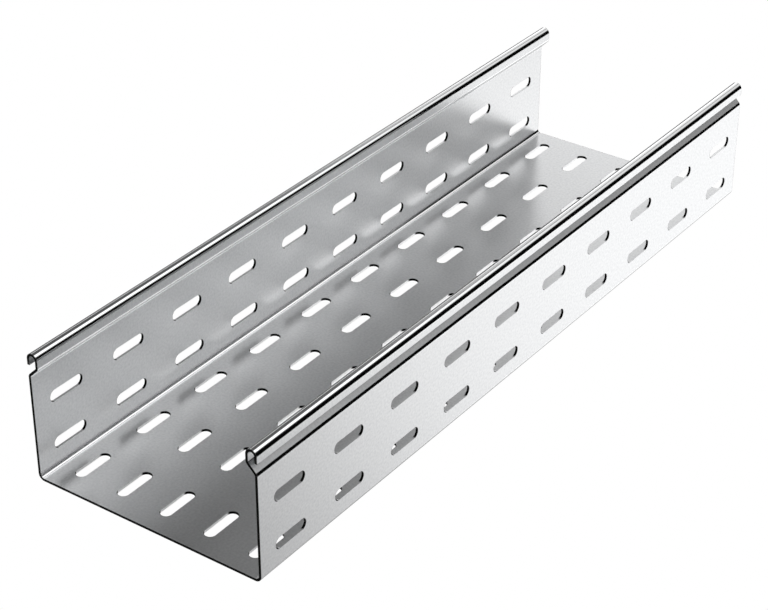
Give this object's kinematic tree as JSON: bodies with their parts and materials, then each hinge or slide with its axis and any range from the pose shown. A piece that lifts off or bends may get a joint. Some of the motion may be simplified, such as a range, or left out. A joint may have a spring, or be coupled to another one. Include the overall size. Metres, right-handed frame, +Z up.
{
  "type": "perforated cable tray",
  "caption": "Open U-shaped cable tray of galvanised sheet steel with slotted floor and walls and rolled, set-in rims that take a clip-on lid.",
  "frame": {"origin": "middle of the tray's floor, on its underside", "axes": "+X along the tray, +Y across it, +Z up out of the open side"},
  "size_m": [0.5, 0.153, 0.0815],
  "materials": {
    "galvanised_steel": "hot-dip zinc-coated sheet steel, smooth and satin, bare at the cut edges"
  },
  "bodies": {
    "root": {"tray": "galvanised_steel"}
  },
  "joints": []
}
